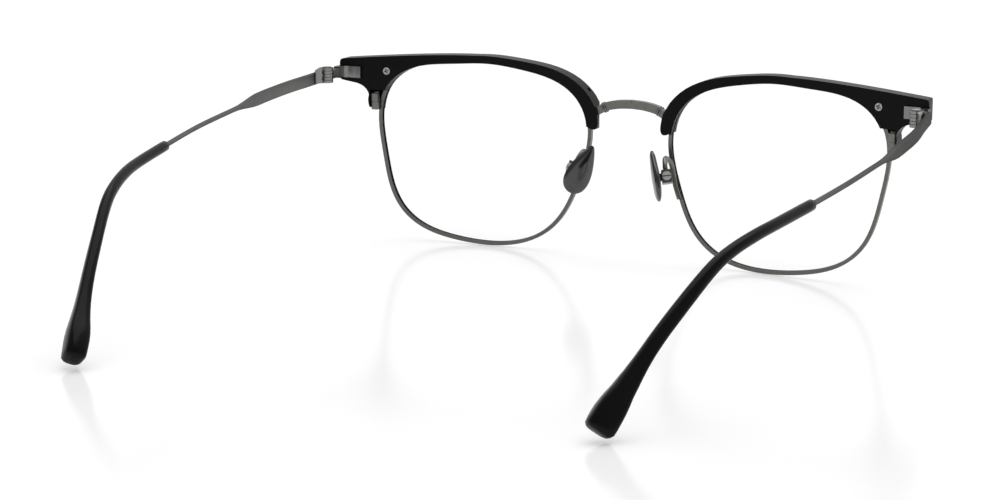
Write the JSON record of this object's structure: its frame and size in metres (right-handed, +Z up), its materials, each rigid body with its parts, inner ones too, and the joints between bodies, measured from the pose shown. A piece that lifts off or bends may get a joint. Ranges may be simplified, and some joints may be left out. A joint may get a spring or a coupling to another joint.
{
  "type": "browline spectacles",
  "caption": "Browline glasses with black acetate brow bars and tips, thin metal eyewires, clear lenses, folding temples and rocking nose pads.",
  "frame": {"origin": "middle of the bounding box's underside: the surface the eyewires and the temple tips stand on", "axes": "+X towards the wearer's left, +Y backwards along the open temples, +Z up"},
  "size_m": [0.1474, 0.1414, 0.0433],
  "materials": {
    "acetate": "polished black acetate",
    "rim_metal": "dark gunmetal plating",
    "temple_metal": "brushed gunmetal",
    "end_metal": "brushed steel, lightly plated",
    "screw_metal": "bright steel",
    "pad_metal": "polished dark plating",
    "lens": "clear demo lens"
  },
  "bodies": {
    "front": {"bridge": "rim_metal", "brow_left": "acetate", "brow_right": "acetate", "eyewire_left": "rim_metal", "eyewire_right": "rim_metal", "lens_left": "lens", "lens_right": "lens", "rim_lock_upper_left": "rim_metal", "rim_lock_upper_right": "rim_metal", "rim_lock_lower_left": "rim_metal", "rim_lock_lower_right": "rim_metal", "rim_lock_screw_left": "screw_metal", "rim_lock_screw_right": "screw_metal", "brow_screw_left": "screw_metal", "brow_screw_right": "screw_metal", "end_piece_left": "end_metal", "end_piece_right": "end_metal", "hinge_front_left": "end_metal", "hinge_front_right": "end_metal", "hinge_screw_left": "screw_metal", "hinge_screw_right": "screw_metal", "pad_arm_left": "rim_metal", "pad_arm_right": "rim_metal", "pad_box_left": "rim_metal", "pad_box_right": "rim_metal", "pad_screw_left": "screw_metal", "pad_screw_right": "screw_metal"},
    "temple_left": {"hinge_temple_left": "end_metal", "temple_left": "temple_metal", "temple_tip_left": "acetate"},
    "temple_right": {"hinge_temple_right": "end_metal", "temple_right": "temple_metal", "temple_tip_right": "acetate"},
    "pad_left": {"nose_pad_left": "pad_metal"},
    "pad_right": {"nose_pad_right": "pad_metal"}
  },
  "joints": [
    {"name": "fold_left", "type": "hinge", "parent": "front", "child": "temple_left", "pos_m": [0.0694, -0.05424, 0.038], "axis": [0, 0, 1], "range_deg": [0, 84]},
    {"name": "fold_right", "type": "hinge", "parent": "front", "child": "temple_right", "pos_m": [-0.0694, -0.05424, 0.038], "axis": [0, 0, -1], "range_deg": [0, 80]},
    {"name": "pad_rock_left", "type": "hinge", "parent": "front", "child": "pad_left", "pos_m": [0.01106, -0.06255, 0.01985], "axis": [0.3925, 0.8567, 0.3347], "range_deg": [-8, 8]},
    {"name": "pad_rock_right", "type": "hinge", "parent": "front", "child": "pad_right", "pos_m": [-0.01106, -0.06255, 0.01985], "axis": [0.3925, -0.8567, -0.3347], "range_deg": [-8, 8]}
  ]
}
